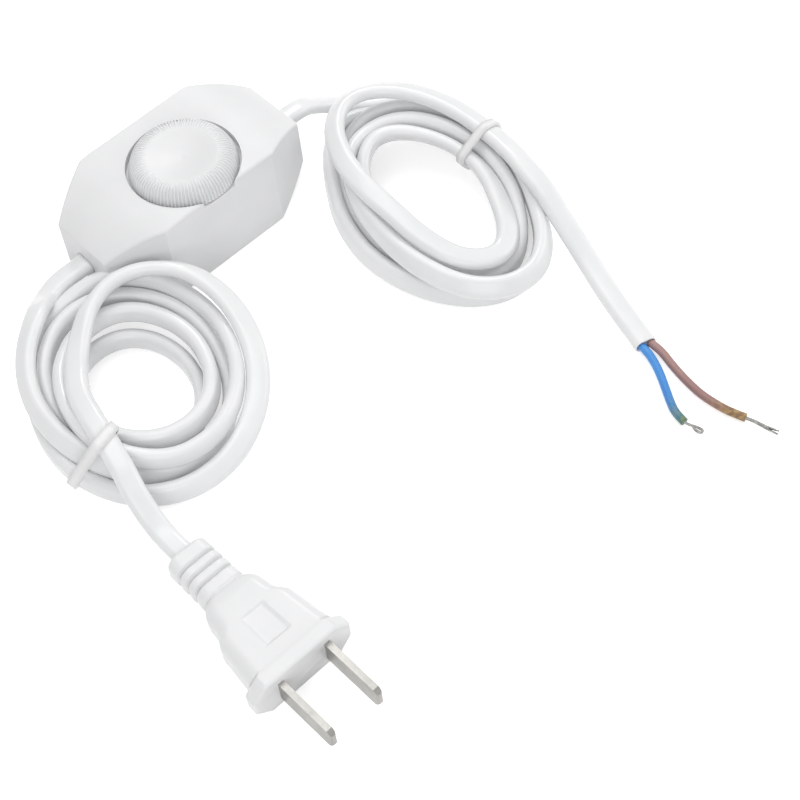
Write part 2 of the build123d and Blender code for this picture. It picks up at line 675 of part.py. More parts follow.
def coil_knots(center, stretch, start, end_way, first_side, step, radii, heights):
    """Points and directions where the turns cross the four sides, with the coil's two ends."""
    knots = [start]
    flat_radii = [value for row in radii for value in row]
    flat_heights = [value for row in heights for value in row]
    for index, (radius, height) in enumerate(zip(flat_radii, flat_heights)):
        knots.append((first_side + step * index, radius, height))
    points = []
    tangents = []
    for index, (angle, radius, height) in enumerate(knots):
        before = knots[max(index - 1, 0)]
        after = knots[min(index + 1, len(knots) - 1)]
        span = math.radians(after[0] - before[0])
        radius_rate = (after[1] - before[1]) / span
        height_rate = (after[2] - before[2]) / span
        if index == 0:
            height_rate = 0
        turn = math.radians(angle)
        cos = math.cos(turn)
        sin = math.sin(turn)
        points.append(Vector(center[0] + radius * cos, center[1] + stretch * radius * sin, height))
        slope = Vector(radius_rate * cos - radius * sin, stretch * (radius_rate * sin + radius * cos), height_rate)
        tangents.append(slope.normalized() * math.copysign(1, step))
    tangents[-1] = Vector(*end_way).normalized()
    return points, tangents


def biarc_middle(start, start_way, end, end_way):
    """Where two arcs meet that run smoothly from one point and direction to another."""
    gap = end - start
    ways = start_way + end_way
    spread = 2 * (1 - start_way.dot(end_way))
    along = gap.dot(ways)
    reach = (math.sqrt(along**2 + spread * gap.dot(gap)) - along) / spread
    return ((start + start_way * reach) + (end - end_way * reach)) * 0.5


def coil_path(points, tangents):
    """One smooth wire of arcs through the crossings, with a straight run at each end."""
    edges = [Line(points[0] - tangents[0] * COIL_END_RUN, points[0])]
    for index in range(len(points) - 1):
        way = tangents[index]
        middle = biarc_middle(points[index], way, points[index + 1], tangents[index + 1])
        first = TangentArc(points[index], middle, tangent=way)
        edges += [first, TangentArc(middle, points[index + 1], tangent=first % 1)]
    edges.append(Line(points[-1], points[-1] + tangents[-1] * COIL_END_RUN))
    return Wire(edges)


def make_coil(path):
    """Flat cord on its edge along the coil's path, held upright by a copy of it above."""
    plane = Plane(origin=path @ 0, x_dir=(path % 0).cross(Vector(0, 0, 1)), z_dir=path % 0)
    guide = path.moved(Pos(0, 0, 2 * CORD_WIDTH))
    return sweep(plane * Ellipse(CORD_THICKNESS / 2, CORD_WIDTH / 2), path=path, binormal=guide)


def gap_between(apart):
    """Gap between two upright flat sections, along the direction that separates them best."""
    level = math.hypot(apart.X, apart.Y)
    best = -1e9
    for share in range(13):
        turn = math.pi / 2 * share / 12
        reach = math.hypot(CORD_THICKNESS * math.cos(turn), CORD_WIDTH * math.sin(turn))
        best = max(best, level * math.cos(turn) + abs(apart.Z) * math.sin(turn) - reach)
    return best


def print_self_gap(name, path):
    """Measure the coil's least gap to itself on points along its path."""
    count = int(path.length / GAP_SAMPLE_STEP)
    points = [path @ (index / count) for index in range(count + 1)]
    skip = int(2.5 * CORD_WIDTH / GAP_SAMPLE_STEP)
    least = (1e9, 0, 0)
    for i in range(count + 1):
        for j in range(i + skip, count + 1):
            apart = points[j] - points[i]
            if apart.length < 2 * CORD_WIDTH:
                least = min(least, (gap_between(apart), i, j))
    where = [tuple(round(value, 1) for value in points[index]) for index in least[1:]]
    verdict = "ok" if least[0] > SELF_GAP_LEAST else "too close"
    print(f"{name}: length {path.length:.1f}, least gap to itself {least[0]:.2f} ({verdict}) at {where}")


def corner_radii(points):
    """Arc radius at each inner point: 0.45 of the shorter run over the tangent of half the turn."""
    radii = []
    for before, here, after in zip(points, points[1:], points[2:]):
        turn = math.radians((here - before).get_angle(after - here))
        run = min((here - before).length, (after - here).length)
        radii.append(0.45 * run / math.tan(turn / 2))
    return radii


def make_stretch(name, route, radius):
    """A plain round tube along straight runs joined by arcs, checked by its volume."""
    points = [Vector(*point) for point in route]
    radii = corner_radii(points)
    path = FilletPolyline(*points, radius=radii)
    plane = Plane(origin=path @ 0, z_dir=path % 0)
    solid = sweep(plane * Circle(radius), path=path)
    share = solid.volume / (math.pi * radius**2 * path.length)
    listed = ", ".join(f"{value:.1f}" for value in radii)
    print(f"{name}: length {path.length:.1f}, radii {listed}, volume share {share:.4f}")
    return solid


def make_tie(center, stretch, angle, band, span):
    """A thin band round the bundle of turns, square to them."""
    turn = math.radians(angle)
    flat_way = Vector(-math.sin(turn), stretch * math.cos(turn), 0).normalized()
    middle = sum(span) / 2
    origin = (
        center[0] + middle * math.cos(turn),
        center[1] + stretch * middle * math.sin(turn),
        (TIE_TOP + TIE_BOTTOM + TIE_THICKNESS) / 2,
    )
    plane = Plane(origin=origin, x_dir=flat_way.cross(Vector(0, 0, 1)), z_dir=flat_way)
    width = span[1] - span[0] + 2 * TIE_GAP
    height = TIE_TOP - TIE_BOTTOM - TIE_THICKNESS
    outer = RectangleRounded(width + 2 * TIE_THICKNESS, height + 2 * TIE_THICKNESS, 2.4 + TIE_THICKNESS)
    ring = outer - RectangleRounded(width, height, 2.4)
    return extrude(plane * ring, amount=band / 2, both=True)


def plug_section(y, width, height, corner):
    """A rounded rectangle square to the plug's axis, resting near the floor."""
    plane = Plane(origin=(PLUG_X, y, PLUG_AXIS_Z), x_dir=(1, 0, 0), z_dir=(0, -1, 0))
    return plane * RectangleRounded(width, height, corner)


def plug_bar(y, length, width, height, corner):
    return extrude(plug_section(y, width, height, corner), amount=length)


def blade_places():
    return [PLUG_X + side * BLADE_PITCH / 2 for side in ends()]


def make_blade(x):
    """Flat blade with chamfered tip corners and its root inside the plug."""
    y_low = PLUG_FACE_Y - BLADE_LENGTH
    half = BLADE_THICKNESS / 2
    z = (PLUG_AXIS_Z - BLADE_HEIGHT / 2, PLUG_AXIS_Z + BLADE_HEIGHT / 2)
    blade = block((x - half, x + half), (y_low, PLUG_FACE_Y + BLADE_ROOT), z)
    tip = blade.edges().filter_by(Axis.X).group_by(Axis.Y)[0]
    blade = chamfer(tip, BLADE_TIP)
    sides = [edge for edge in blade.edges().filter_by(Axis.Z) if edge.center().Y < y_low + 0.01]
    return chamfer(sides, BLADE_THICKNESS / 4)


def make_bridge(blades):
    """Rigid inner piece that keeps the blades at their spacing."""
    bridge = plug_bar(PLUG_FACE_Y + BRIDGE_LENGTH, BRIDGE_LENGTH, BRIDGE_WIDTH, BRIDGE_HEIGHT, 1.5)
    for blade in blades:
        bridge = bridge - blade
    return bridge


def make_plug_body(bridge, blades):
    """Moulded plug: ribbed strain relief, neck, body with a bare panel, and wide front flange."""
    relief = plug_bar(PLUG_CORD_Y, RELIEF_LENGTH, RELIEF_WIDTH, RELIEF_HEIGHT, 2.6)
    for index in range(RELIEF_GROOVES):
        y = PLUG_CORD_Y - RELIEF_FIRST_GROOVE - index * RELIEF_GROOVE_PITCH
        cut = plug_bar(y, RELIEF_GROOVE_WIDTH, RELIEF_WIDTH + 2, RELIEF_HEIGHT + 2, 2.6)
        core_width = RELIEF_WIDTH - 2 * RELIEF_GROOVE_DEPTH
        core_height = RELIEF_HEIGHT - 2 * RELIEF_GROOVE_DEPTH
        relief = relief - (cut - plug_bar(y, RELIEF_GROOVE_WIDTH, core_width, core_height, 2.0))
    neck = plug_bar(NECK_Y, NECK_LENGTH, NECK_WIDTH, NECK_HEIGHT, 3.2)
    body = loft([
        plug_section(SHOULDER_Y, PLUG_SHOULDER_WIDTH, NECK_HEIGHT + 0.6, 3.2),
        plug_section(FLANGE_BACK_Y, PLUG_BACK_WIDTH, PLUG_BACK_HEIGHT, 3.2),
    ])
    flange = plug_bar(FLANGE_BACK_Y, FLANGE_THICKNESS, FLANGE_WIDTH, FLANGE_HEIGHT, FLANGE_CORNER)
    plug = relief + neck + body + flange
    panel_y = (SHOULDER_Y + FLANGE_BACK_Y) / 2
    slope = math.atan2((PLUG_BACK_HEIGHT - NECK_HEIGHT - 0.6) / 2, PLUG_BODY_LENGTH)
    top = PLUG_AXIS_Z + (PLUG_BACK_HEIGHT + NECK_HEIGHT + 0.6) / 4
    panel = Rot(math.degrees(slope), 0, 0) * Box(PANEL_WIDTH, PANEL_LENGTH, 2 * PANEL_DEPTH)
    plug = plug - Pos(PLUG_X, panel_y, top) * panel
    plug = plug - plug_bar(PLUG_FACE_Y + BRIDGE_LENGTH, BRIDGE_LENGTH, BRIDGE_WIDTH, BRIDGE_HEIGHT, 1.5)
    for blade in blades:
        plug = plug - blade
    return plug


def make_blue_wires(end, way):
    """Tinned end of the blue core: a short straight run and a small hook."""
    side = way.cross(Vector(0, 0, 1)).normalized()
    bend = end + way * BLUE_BARE_LENGTH
    run = Line(end, bend)
    over = TangentArc(bend, bend + side * -2 * BLUE_HOOK_RADIUS, tangent=way)
    path = Wire([run, over])
    plane = Plane(origin=path @ 0, z_dir=path % 0)
    return sweep(plane * Circle(STRANDS_RADIUS), path=path)


def make_brown_wires(end, way):
    """Tinned end of the brown core, straight."""
    plane = Plane(origin=end, z_dir=way)
    return extrude(plane * Circle(STRANDS_RADIUS), amount=BROWN_BARE_LENGTH)


def last_way(route):
    """Direction of a route's last run."""
    return (Vector(*route[-1]) - Vector(*route[-2])).normalized()


def core_start(side):
    """A core's first straight run, out of the jacket's cut end and square to it."""
    way = last_way(LOAD_END_POINTS)
    across = way.cross(Vector(0, 0, 1)).normalized()
    start = Vector(*JACKET_END) + across * (side * CORE_PITCH / 2)
    return [tuple(start), tuple(start + way * CORE_SQUARE_RUN)]


def square_run(end, way, sign):
    """Two points of a straight run that meets a coil's end square, in order along the cord."""
    run = [tuple(end), tuple(end + way * (sign * CORD_SQUARE_RUN))]
    return run if sign > 0 else run[::-1]


def save_housing():
    save(make_top_cover(), "top_cover")
    save(make_base_cover(), "base_cover")
    save(solids_of(make_housing_screws()), "housing_screws")
    save(make_knob(), "knob")
    save(make_pot_shaft(), "potentiometer_shaft")
    save(make_pot_wiper(), "potentiometer_wiper")
    save(make_pot_case(), "potentiometer_case")
    save(make_pot_wafer(), "potentiometer_wafer")


def save_electronics():
    save(make_board(), "circuit_board")
    save(make_suppression_capacitor(), "suppression_capacitor")
    save(make_timing_capacitor(), "timing_capacitor")
    save(make_triac(), "triac")
    save(make_heat_sink(), "heat_sink")
    save(make_heat_sink_rivet(), "heat_sink_rivet")
    save(make_choke_core(), "choke_core")
    save(make_choke_winding(), "choke_winding")
    save(make_fuse(), "fuse")
    save(make_diac(), "diac")
    save(solids_of(make_resistors()), "resistors")


def save_cord_anchors():
    for end, name in ((-1, "line"), (1, "load")):
        save(make_grip(end), f"{name}_cord_grip")
        save(make_cord_tail(end), f"{name}_cord_tail")
        neutral, live = make_inner_wires(end)
        save(neutral, f"{name}_neutral_wire")
        save(live, f"{name}_live_wire")
    save(solids_of(make_grip_screws()), "grip_screws")


def save_line_side():
    """Cord from the housing to the plug, with its coil and tie."""
    points, ways = coil_knots(
        LINE_COIL_CENTER, LINE_COIL_STRETCH, LINE_COIL_START, LINE_COIL_END_WAY,
        LINE_COIL_FIRST_SIDE, LINE_COIL_SIDE_STEP, LINE_COIL_RADII, LINE_COIL_HEIGHTS,
    )
    path = coil_path(points, ways)
    print_self_gap("line coil", path)
    save(make_coil(path), "line_cord_coil")
    start = LINE_START_POINTS + square_run(path @ 0, path % 0, -1)
    end = square_run(path @ 1, path % 1, 1) + LINE_END_POINTS
    save(make_stretch("line cord", start, CORD_ROUND_RADIUS), "line_cord")
    save(make_stretch("line cord end", end, CORD_ROUND_RADIUS), "line_cord_end")
    tie = make_tie(LINE_COIL_CENTER, LINE_COIL_STRETCH, LINE_TIE_ANGLE, LINE_TIE_BAND, LINE_TIE_SPAN)
    save(tie, "line_cord_tie")


def save_load_side():
    """Cord from the housing to its cut end, with its coil, tie and bare wires."""
    points, ways = coil_knots(
        LOAD_COIL_CENTER, LOAD_COIL_STRETCH, LOAD_COIL_START, LOAD_COIL_END_WAY,
        LOAD_COIL_FIRST_SIDE, LOAD_COIL_SIDE_STEP, LOAD_COIL_RADII, LOAD_COIL_HEIGHTS,
    )
    path = coil_path(points, ways)
    print_self_gap("load coil", path)
    save(make_coil(path), "load_cord_coil")
    start = LOAD_START_POINTS + square_run(path @ 0, path % 0, -1)
    end = square_run(path @ 1, path % 1, 1) + LOAD_END_POINTS
    save(make_stretch("load cord", start, CORD_ROUND_RADIUS), "load_cord")
    save(make_stretch("load cord end", end, CORD_ROUND_RADIUS), "load_cord_end")
    tie = make_tie(LOAD_COIL_CENTER, LOAD_COIL_STRETCH, LOAD_TIE_ANGLE, LOAD_TIE_BAND, LOAD_TIE_SPAN)
    save(tie, "load_cord_tie")
    blue = core_start(1) + BLUE_ROUTE
    brown = core_start(-1) + BROWN_ROUTE
    save(make_stretch("blue core", blue, CORE_RADIUS), "blue_core")
    save(make_stretch("brown core", brown, CORE_RADIUS), "brown_core")
    save(make_blue_wires(Vector(*blue[-1]), last_way(blue)), "blue_bare_wires")
    save(make_brown_wires(Vector(*brown[-1]), last_way(brown)), "brown_bare_wires")


def save_plug():
    blades = [make_blade(x) for x in blade_places()]
    bridge = make_bridge(blades)
    save(make_plug_body(bridge, blades), "plug_body")
    save(bridge, "plug_bridge")
    save(blades[0], "plug_blade_left")
    save(blades[1], "plug_blade_right")


save_housing()
save_electronics()
save_cord_anchors()
save_line_side()
save_load_side()
save_plug()
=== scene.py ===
import math
import bmesh
import bpy
import numpy as np
from mathutils import Matrix, Vector


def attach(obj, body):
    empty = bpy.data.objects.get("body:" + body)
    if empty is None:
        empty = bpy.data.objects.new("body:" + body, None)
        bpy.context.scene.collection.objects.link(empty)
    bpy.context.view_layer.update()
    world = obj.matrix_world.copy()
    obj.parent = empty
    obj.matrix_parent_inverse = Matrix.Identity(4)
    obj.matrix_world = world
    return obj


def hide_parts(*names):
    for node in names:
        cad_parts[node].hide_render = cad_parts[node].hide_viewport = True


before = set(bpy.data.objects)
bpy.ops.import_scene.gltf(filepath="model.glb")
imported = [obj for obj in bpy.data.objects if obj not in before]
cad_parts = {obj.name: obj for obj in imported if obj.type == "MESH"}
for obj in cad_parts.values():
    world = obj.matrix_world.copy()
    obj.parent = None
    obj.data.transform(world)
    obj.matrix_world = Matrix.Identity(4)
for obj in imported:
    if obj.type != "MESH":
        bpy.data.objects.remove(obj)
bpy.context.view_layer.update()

# Numbers are in millimetres and degrees, unless a heading says metres

# Camera: its place is in metres
CAMERA_PLACE = (-0.1532, -0.2713, 0.3567)
CAMERA_AZIMUTH = 37.88
CAMERA_PITCH = 55.19
CAMERA_ROLL = -6.77
CAMERA_LENS = 86.1
CAMERA_SENSOR = 36

# Lamps: place and size in metres, power in watts
LAMP_AIM = (0, -0.05, 0)
LAMPS = {
    "top_lamp": ((0.05, 0.10, 0.75), 0.5, 1.5),
    "right_lamp": ((0.60, -0.30, 0.32), 0.5, 1.1),
    "left_lamp": ((-0.45, -0.50, 0.45), 0.5, 1.6),
    "back_lamp": ((0.40, 0.35, 0.55), 0.12, 0.9),
}

# World light, and the floor: its colour, its own light and half its side in metres
WHITE = (1, 1, 1, 1)
WORLD_LIGHT = 0.46
FLOOR_COLOUR = (0.9, 0.9, 0.9, 1)
FLOOR_ROUGHNESS = 0.9
FLOOR_GLOW = 0.52
FLOOR_HALF = 4

# Flat cord: its section and how much it swells at the housing's wall
CORD_WIDTH = 5.5
CORD_THICKNESS = 3.4
CORD_SIDES = 28
ROOT_SWELL = 0.38
ROOT_LENGTH = 1.3
SPLINE_STEPS = 10

# Cut end of the jacket: rounding, then rows of share of the section and depth into the cord
CUT_ROUNDING = 0.3
CUT_ROWS = ((0.95, 0.0), (0.86, 0.0), (0.80, 0.4), (0.76, 1.2))

# Plug-side cord: control points of its route, with the cord's roll (0 on edge, 90 flat)
LINE_START = [
    (-30.0, 0.0, 11.15, 90),
    (-34.0, 0.0, 11.15, 90),
    (-38.6, 0.0, 11.15, 88),
    (-43.8, -1.6, 10.8, 80),
]
LINE_END = [
    (-60.6, -52.0, 14.6, 90),
    (-62.0, -57.5, 11.5, 90),
    (-62.6, -62.5, 7.6, 90),
    (-62.8, -67.0, 5.5, 90),
    (-62.9, -71.5, 5.5, 90),
    (-62.9, -77.0, 5.5, 90),
]
LINE_CENTRE = (-40.0, -32.5)
LINE_STRETCH = 1.12
LINE_FIRST = 110
LINE_STEP = 45
# One row each 45 degrees: distance from the centre, height and roll
LINE_TURNS = [
    (24.1, 15.7, 70), (24.6, 10.8, 40), (23.0, 6.0, 45), (22.8, 2.9, 20),
    (19.7, 3.0, 0), (17.7, 3.9, 0), (19.0, 7.0, 0), (20.3, 9.8, 0),
    (21.2, 9.9, 0), (21.0, 6.8, 0), (19.5, 3.2, 0), (16.9, 2.8, 0),
    (13.5, 2.8, 0), (11.1, 2.8, 0), (11.2, 3.1, 0), (13.0, 3.8, 0),
    (14.3, 4.4, 0), (15.7, 5.9, 0), (16.9, 8.1, 0), (17.5, 8.4, 20),
    (16.2, 8.3, 15), (14.3, 8.25, 0), (14.7, 8.7, 0), (15.9, 9.9, 0),
    (16.1, 10.0, 0), (17.7, 11.2, 0), (20.8, 10.9, 0), (22.9, 8.7, 0),
    (21.3, 8.8, 0), (20.5, 9.2, 0), (22.2, 9.9, 0), (23.7, 12.6, 0),
    (24.7, 6.9, 0), (24.8, 3.5, 0), (27.0, 2.7, 0), (27.5, 3.2, 30),
    (25.4, 5.7, 70), (25.0, 10.6, 80), (24.4, 16.3, 50), (19.2, 16.7, 30),
    (13.5, 14.6, 65), (13.5, 14.4, 85), (18.8, 15.7, 90),
]

# Lamp-side cord: its coil runs the other way round
LOAD_START = [
    (30.0, 0.0, 11.15, 90),
    (34.0, 0.0, 11.15, 90),
    (38.5, 0.0, 10.9, 88),
    (44.5, 0.0, 6.8, 80),
    (50.5, -2.6, 4.0, 65),
    (56.0, -7.6, 3.2, 50),
]
LOAD_END = [
    (60.9, -50.0, 14.4, 80),
    (59.6, -56.5, 14.2, 85),
    (58.7, -62.7, 13.1, 90),
    (57.3, -69.0, 10.3, 90),
    (56.3, -75.5, 6.6, 90),
    (55.1, -81.4, 3.9, 90),
    (53.3, -88.0, 2.2, 90),
    (51.0, -95.3, 1.8, 90),
    (48.9, -102.5, 1.8, 90),
    (47.8, -106.0, 1.8, 90),
]
LOAD_CENTRE = (43.0, -43.0)
LOAD_STRETCH = 1.6
LOAD_FIRST = 45
LOAD_STEP = -45
LOAD_TURNS = [
    (27.5, 3.0, 30), (22.4, 2.8, 0), (18.4, 2.8, 0), (18.8, 2.9, 0),
    (20.9, 3.4, 20), (22.3, 3.5, 20), (19.5, 4.6, 10), (21.3, 6.9, 0),
    (20.2, 4.6, 0), (16.4, 2.9, 0), (14.6, 2.8, 0), (15.4, 2.8, 0),
    (17.5, 2.8, 0), (18.0, 2.7, 0), (16.9, 3.7, 0), (18.7, 6.8, 0),
    (20.9, 9.3, 0), (20.1, 9.2, 0), (18.0, 8.4, 20), (20.6, 8.4, 35),
    (22.0, 8.7, 40), (18.3, 9.9, 20), (16.3, 10.2, 0), (15.8, 9.2, 0),
    (16.7, 10.3, 0), (16.2, 9.7, 0), (14.8, 6.0, 0), (15.4, 3.0, 0),
    (16.0, 3.3, 0), (14.5, 6.1, 0), (13.4, 9.4, 0), (13.3, 11.6, 20),
    (12.7, 10.9, 35), (12.2, 10.1, 35), (11.2, 9.3, 55), (14.4, 8.0, 80),
    (16.1, 10.0, 85), (14.2, 14.4, 85), (17.0, 15.5, 60), (20.3, 15.8, 50),
    (20.5, 15.2, 70), (18.3, 14.3, 75),
]

# Ties: their thickness, their gap to the cord and the floor, and the step round their outline
TIE_THICKNESS = 0.8
TIE_GAP = 0.1
TIE_STEP = 3
# Share of half the band's width and share of its thickness
TIE_PROFILE = ((-1, 0.0), (-0.96, 1.0), (0.96, 1.0), (1, 0.0))
# Each band's plane leans over two floor points, and the band takes in the strands in its span
LINE_TIE = {
    "inner": (-56.9, -36.6),
    "outer": (-69.1, -39.7),
    "lean": 26,
    "span": (0.7, 18.5),
    "lowest": 0.0,
    "width": 2.6,
}
LOAD_TIE = {
    "inner": (51.6, -41.4),
    "outer": (64.5, -41.7),
    "lean": 0,
    "span": (-3.0, 14.5),
    "lowest": 6.2,
    "width": 2.1,
}

# Plug: rows of place along the cord, width, height and corner radius
PLUG_X = LINE_END[-1][0]
PLUG_Z = LINE_END[-1][2]
PLUG_FORM = [
    (-74.7, 8.4, 5.8, 2.4),
    (-75.0, 9.6, 7.0, 2.6),
    (-75.7, 10.4, 7.7, 2.6),
    (-88.5, 10.7, 7.9, 2.6),
    (-89.5, 12.8, 8.7, 2.8),
    (-90.4, 14.2, 9.2, 3.0),
    (-91.6, 14.9, 9.6, 3.0),
    (-94.8, 15.5, 10.0, 3.0),
    (-96.3, 16.6, 10.1, 3.0),
    (-97.3, 18.4, 10.2, 3.0),
    (-98.4, 19.6, 10.3, 3.0),
    (-107.6, 21.6, 10.7, 3.2),
    (-109.2, 22.4, 10.8, 3.4),
    (-109.6, 25.2, 10.9, 3.4),
    (-110.0, 26.1, 11.0, 3.5),
    (-112.5, 26.3, 11.0, 3.5),
    (-112.95, 25.8, 10.7, 3.3),
    (-113.15, 25.0, 10.2, 3.1),
]
PLUG_STEP = 0.2
# Points on a section's narrow and wide sides, and steps round its corners
PLUG_SIDES = (14, 34)
PLUG_CORNER = 8
# Place and depth of each groove of the strain relief, and where the bevelled flange begins
PLUG_GROOVES = [(-79.1, 1.5), (-81.9, 1.5), (-84.7, 1.5), (-88.2, 0.5)]
PLUG_GROOVE_WIDTH = 0.33
PLUG_FLANGE = -109.3
# Shallow panel on the top: its ends along the cord, half width, depth and width of its edge
PANEL_ENDS = (-106.1, -97.2)
PANEL_HALF = 3.1
PANEL_DEPTH = 0.5
PANEL_EDGE = 0.3

# Knob: distance from its axis and height, from the middle of the dish to the rim
KNOB_CENTRE = (0.0, -3.0)
KNOB_FORM = [
    (0.0, 25.75), (1.5, 25.79), (3.0, 25.93), (4.5, 26.17), (6.0, 26.50), (7.5, 26.86), (8.8, 27.10),
    (9.9, 27.18), (10.8, 27.02), (11.6, 26.55), (12.2, 25.78), (12.7, 24.70), (13.1, 23.2),
]
KNOB_FOOT = [(13.1, 22.4), (12.95, 22.3), (11.3, 22.3)]
KNOB_RINGS = 90
KNOB_DIMPLE = 0.10
KNOB_DIMPLE_RADIUS = 0.7
# Ribs of the knob: they start at a distance from its axis and rise to their depth further out
RIB_COUNT = 90
RIB_DEPTH = 0.56
RIB_POINTS = 10
RIB_START = 8.3
RIB_RISE = 3.0
RIB_END = KNOB_FOOT[-1][1] + 0.02

# Cores at the lamp-side end: control points of their routes
CORE_RADIUS = 1.0
BLUE_ROUTE = [
    (46.9, -105.5, 1.80),
    (46.7, -106.7, 1.80),
    (46.2, -109.1, 1.70),
    (44.6, -112.9, 1.60),
    (42.3, -116.8, 1.50),
    (40.1, -120.4, 1.40),
    (38.7, -123.2, 1.30),
    (38.4, -126.1, 1.20),
]
BROWN_ROUTE = [
    (49.1, -106.2, 1.80),
    (49.0, -107.5, 1.80),
    (48.9, -109.9, 1.80),
    (47.7, -114.3, 1.70),
    (46.8, -119.0, 1.60),
    (46.3, -123.9, 1.50),
    (46.7, -128.3, 1.40),
    (47.4, -131.8, 1.30),
    (48.6, -135.1, 1.20),
]

# Bare strands: they start a little back inside the core and run on past its end
BLUE_BACK = (-0.1, 0.9)
BLUE_TIP = [
    (38.69, -127.38, 1.00),
    (39.29, -128.35, 0.80),
    (39.83, -129.55, 0.70),
    (39.78, -130.40, 0.70),
    (39.15, -130.55, 0.70),
    (38.76, -129.80, 0.70),
    (38.71, -128.71, 0.75),
    (38.89, -128.00, 1.20),
]
BROWN_BACK = (-0.4, 0.8)
BROWN_TIP = [
    (49.32, -137.36, 1.10),
    (49.89, -140.05, 0.90),
    (50.76, -142.65, 0.80),
]
# Number of strands, radius of each, and distance from the middle at the start and at the tip
BLUE_STRANDS = (5, 0.16, (0.16, 0.16))
BROWN_STRANDS = (7, 0.19, (0.21, 0.38))
STRAND_SIDES = 8
# Turn of the strands round each other, in radians a metre
STRAND_TWIST = 380.0

# Materials: depth of the bump in metres and roughness of the noise
RELIEF_DEPTH = 0.0002
NOISE_ROUGHNESS = 0.55

# Stained ends of the cores: place along Y from and to, in metres, and the two tints
END_TINTS = {
    "blue_insulation": (-0.1190, -0.1255, (0.05, 0.20, 0.22), (0.20, 0.24, 0.10)),
    "brown_insulation": (-0.1255, -0.1320, (0.24, 0.13, 0.06), (0.42, 0.28, 0.11)),
}
BLOTCH_SCALE = 900

# The CAD nodes and the slots of the record that they take their finish from
NODE_SLOTS = {
    "top_cover": "housing",
    "base_cover": "housing",
    "knob": "knob",
    "housing_screws": "steel_screw",
    "grip_screws": "steel_screw",
    "potentiometer_case": "pot_metal",
    "potentiometer_wafer": "board_laminate",
    "potentiometer_shaft": "pot_plastic",
    "potentiometer_wiper": "pot_plastic",
    "circuit_board": "board_laminate",
    "suppression_capacitor": "capacitor_case",
    "timing_capacitor": "capacitor_case",
    "triac": "component_plastic",
    "diac": "component_plastic",
    "fuse": "component_plastic",
    "resistors": "pot_plastic",
    "heat_sink": "aluminium_plate",
    "heat_sink_rivet": "aluminium_plate",
    "choke_core": "ferrite",
    "choke_winding": "copper_winding",
    "line_cord_grip": "pot_plastic",
    "load_cord_grip": "pot_plastic",
    "line_cord_tail": "cord_jacket",
    "load_cord_tail": "cord_jacket",
    "line_live_wire": "brown_insulation",
    "load_live_wire": "brown_insulation",
    "line_neutral_wire": "blue_insulation",
    "load_neutral_wire": "blue_insulation",
    "plug_body": "plug_plastic",
    "plug_bridge": "plug_plastic",
    "plug_blade_left": "blade_metal",
    "plug_blade_right": "blade_metal",
}


# Materials
def nodes_of(mat):
    """A material's node tree and its shader."""
    tree = mat.node_tree
    return tree, tree.nodes["Principled BSDF"]


def add_noise(tree, scale, detail=4.0, stretch=(1, 1, 1)):
    """A noise texture in the object's own metres."""
    place = tree.nodes.new("ShaderNodeTexCoord")
    mapping = tree.nodes.new("ShaderNodeMapping")
    mapping.inputs["Scale"].default_value = stretch
    noise = tree.nodes.new("ShaderNodeTexNoise")
    noise.inputs["Scale"].default_value = scale
    noise.inputs["Detail"].default_value = detail
    noise.inputs["Roughness"].default_value = NOISE_ROUGHNESS
    tree.links.new(place.outputs["Object"], mapping.inputs["Vector"])
    tree.links.new(mapping.outputs["Vector"], noise.inputs["Vector"])
    return noise


def add_ramp(tree, source, low, high, start=0.35, end=0.65):
    """A colour ramp between two values or colours."""
    ramp = tree.nodes.new("ShaderNodeValToRGB")
    ramp.color_ramp.elements[0].position = start
    ramp.color_ramp.elements[1].position = end
    for element, value in zip(ramp.color_ramp.elements, (low, high)):
        element.color = (*value, 1) if isinstance(value, tuple) else (value, value, value, 1)
    tree.links.new(source, ramp.inputs["Fac"])
    return ramp.outputs["Color"]


def make_material(name, low, high, rough, metallic=0.0, tone_scale=60.0, bump_scale=1500.0,
                  bump=0.05, stretch=(1, 1, 1)):
    """A node material: colour from slow noise, roughness and bump from finer noise."""
    mat = bpy.data.materials.new(name)
    mat.use_nodes = True
    tree, shader = nodes_of(mat)
    tone = add_noise(tree, tone_scale, stretch=stretch)
    colour = add_ramp(tree, tone.outputs["Fac"], low, high)
    tree.links.new(colour, shader.inputs["Base Color"])
    fine = add_noise(tree, bump_scale, detail=3.0, stretch=stretch)
    gloss = add_ramp(tree, fine.outputs["Fac"], rough[0], rough[1])
    tree.links.new(gloss, shader.inputs["Roughness"])
    relief = tree.nodes.new("ShaderNodeBump")
    relief.inputs["Strength"].default_value = bump
    relief.inputs["Distance"].default_value = RELIEF_DEPTH
    tree.links.new(fine.outputs["Fac"], relief.inputs["Height"])
    tree.links.new(relief.outputs["Normal"], shader.inputs["Normal"])
    shader.inputs["Metallic"].default_value = metallic
    return mat


def add_end_tint(mat, start, end, low, high):
    """Turns a core's colour to a blotchy tint from one place along Y to another."""
    tree, shader = nodes_of(mat)
    old = shader.inputs["Base Color"].links[0].from_socket
    place = tree.nodes.new("ShaderNodeTexCoord")
    parts = tree.nodes.new("ShaderNodeSeparateXYZ")
    tree.links.new(place.outputs["Object"], parts.inputs["Vector"])
    reach = tree.nodes.new("ShaderNodeMapRange")
    reach.inputs["From Min"].default_value = start
    reach.inputs["From Max"].default_value = end
    tree.links.new(parts.outputs["Y"], reach.inputs["Value"])
    blotch = add_noise(tree, BLOTCH_SCALE, detail=2.0)
    tint = add_ramp(tree, blotch.outputs["Fac"], low, high, start=0.4, end=0.6)
    mix = tree.nodes.new("ShaderNodeMix")
    mix.data_type = "RGBA"
    tree.links.new(reach.outputs["Result"], mix.inputs["Factor"])
    tree.links.new(old, mix.inputs["A"])
    tree.links.new(tint, mix.inputs["B"])
    tree.links.new(mix.outputs["Result"], shader.inputs["Base Color"])


